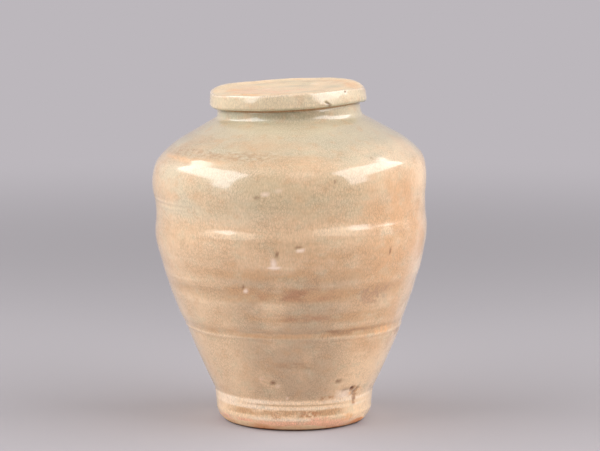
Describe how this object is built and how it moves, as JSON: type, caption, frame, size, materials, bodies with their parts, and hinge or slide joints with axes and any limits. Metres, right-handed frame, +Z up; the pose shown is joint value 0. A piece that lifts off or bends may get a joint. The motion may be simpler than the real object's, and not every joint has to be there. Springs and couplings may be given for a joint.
{
  "type": "lidded jar",
  "caption": "Small shouldered stoneware jar with a celadon glaze and a loose disc lid, for keeping small amounts of spice, tea or oil.",
  "frame": {"origin": "centre of the flat base, on the plane that the jar stands on", "axes": "+Z up through the foot, -Y towards the front of the jar, +X to its right"},
  "size_m": [0.1049, 0.1048, 0.1297],
  "materials": {
    "jar_glaze": "gloss",
    "lid_glaze": "gloss"
  },
  "bodies": {
    "jar": {"jar": "jar_glaze"},
    "lid": {"lid": "lid_glaze"}
  },
  "joints": [
    {"name": "lid_lift", "type": "slide", "parent": "jar", "child": "lid", "axis": [-0.0523, -0.0279, 0.9982], "range_m": [0, 0.07]}
  ]
}
